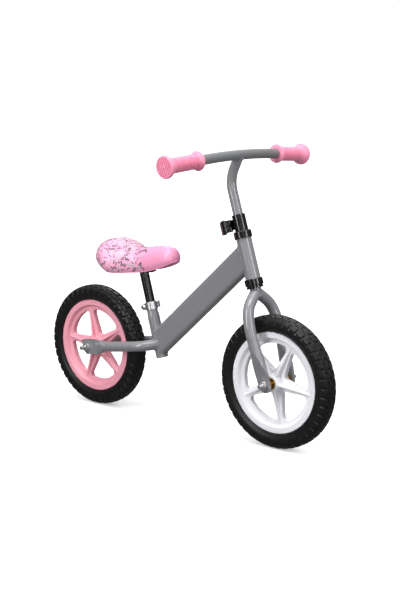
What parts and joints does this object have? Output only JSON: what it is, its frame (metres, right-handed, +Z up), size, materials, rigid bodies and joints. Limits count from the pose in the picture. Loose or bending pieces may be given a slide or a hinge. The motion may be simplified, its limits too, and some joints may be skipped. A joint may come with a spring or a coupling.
{
  "type": "balance bike",
  "caption": "Child's pedal-less balance bike with spoked plastic wheels, foam tyres, padded saddle, ribbed grips and quick-release height clamps for saddle and handlebar",
  "frame": {"origin": "on the ground, midway between the two axles and in the plane of symmetry: the centre of the bottom of the box round the bike", "axes": "+X forward (towards the front wheel), +Y to the rider's left, +Z up"},
  "size_m": [0.86, 0.4788, 0.659],
  "materials": {
    "frame_paint": "silver-grey enamel, semi-gloss",
    "bar_paint": "silver-grey enamel, satin",
    "black_paint": "black gloss enamel",
    "black_parts": "black moulded, satin",
    "bearing_steel": "bright hardened steel",
    "axle_steel": "plated steel",
    "zinc": "yellow passivated zinc over steel",
    "chrome": "bright plated",
    "saddle_vinyl": "glossy vinyl over foam, pink",
    "grip_foam": "soft pink rubber, satin",
    "rear_rim_plastic": "moulded pink, satin",
    "front_rim_plastic": "moulded white, satin",
    "tyre": "black closed-cell foam, matte"
  },
  "bodies": {
    "frame": {"head_tube": "frame_paint", "down_tube": "frame_paint", "seat_tube": "frame_paint", "right_stay": "frame_paint", "left_stay": "frame_paint", "lower_headset_cup": "black_parts", "upper_headset_cup": "black_parts", "lower_headset_balls": "bearing_steel", "upper_headset_balls": "bearing_steel", "rear_axle": "axle_steel", "rear_cones": "bearing_steel", "rear_locknuts": "zinc", "rear_washers": "chrome", "rear_axle_nuts": "chrome", "seat_clamp_band": "chrome", "seat_clamp_bolt": "chrome", "seat_clamp_nut": "chrome", "seat_clamp_pin": "chrome"},
    "fork": {"steerer_tube": "frame_paint", "right_fork_leg": "frame_paint", "left_fork_leg": "frame_paint", "crown_race": "black_parts", "top_race": "black_parts", "clamp_collar": "black_parts", "collar_bolt": "axle_steel", "collar_nut": "black_paint", "collar_pin": "axle_steel", "front_axle": "axle_steel", "front_cones": "bearing_steel", "front_locknuts": "zinc", "front_safety_washers": "chrome", "front_axle_nuts": "chrome"},
    "front_wheel": {"front_rim": "front_rim_plastic", "front_tyre": "tyre", "front_bearing_cups": "zinc", "front_bearing_balls": "bearing_steel"},
    "rear_wheel": {"rear_rim": "rear_rim_plastic", "rear_tyre": "tyre", "rear_bearing_cups": "zinc", "rear_bearing_balls": "bearing_steel"},
    "handlebar": {"handlebar_stem": "frame_paint", "stem_plug": "black_parts", "handlebar_crossbar": "bar_paint", "right_grip": "grip_foam", "left_grip": "grip_foam"},
    "saddle": {"seat_post": "black_paint", "post_plug": "black_parts", "saddle_bracket": "black_paint", "saddle_base": "black_parts", "saddle_cover": "saddle_vinyl", "saddle_screws": "axle_steel"},
    "handlebar_clamp_lever": {"collar_lever": "black_parts"},
    "seat_clamp_lever": {"seat_clamp_lever": "chrome"}
  },
  "joints": [
    {"name": "steering", "type": "hinge", "parent": "frame", "child": "fork", "pos_m": [0.28, 0, 0.15], "axis": [-0.3007, 0, 0.9537], "continuous": true},
    {"name": "front_wheel_spin", "type": "hinge", "parent": "fork", "child": "front_wheel", "pos_m": [0.28, 0, 0.15], "axis": [0, 1, 0], "continuous": true},
    {"name": "rear_wheel_spin", "type": "hinge", "parent": "frame", "child": "rear_wheel", "pos_m": [-0.28, 0, 0.15], "axis": [0, 1, 0], "continuous": true},
    {"name": "handlebar_height", "type": "slide", "parent": "fork", "child": "handlebar", "axis": [-0.3007, 0, 0.9537], "range_m": [-0.04, 0.035]},
    {"name": "saddle_height", "type": "slide", "parent": "frame", "child": "saddle", "axis": [-0.279, 0, 0.9603], "range_m": [-0.045, 0.035]},
    {"name": "handlebar_lever_hinge", "type": "hinge", "parent": "fork", "child": "handlebar_clamp_lever", "pos_m": [0.15187, -0.013, 0.48655], "axis": [-0.3007, 0, 0.9537], "range_deg": [0, 90]},
    {"name": "seat_lever_hinge", "type": "hinge", "parent": "frame", "child": "seat_clamp_lever", "pos_m": [-0.12028, 0.0096, 0.26486], "axis": [-0.279, 0, 0.9603], "range_deg": [0, 140]}
  ]
}
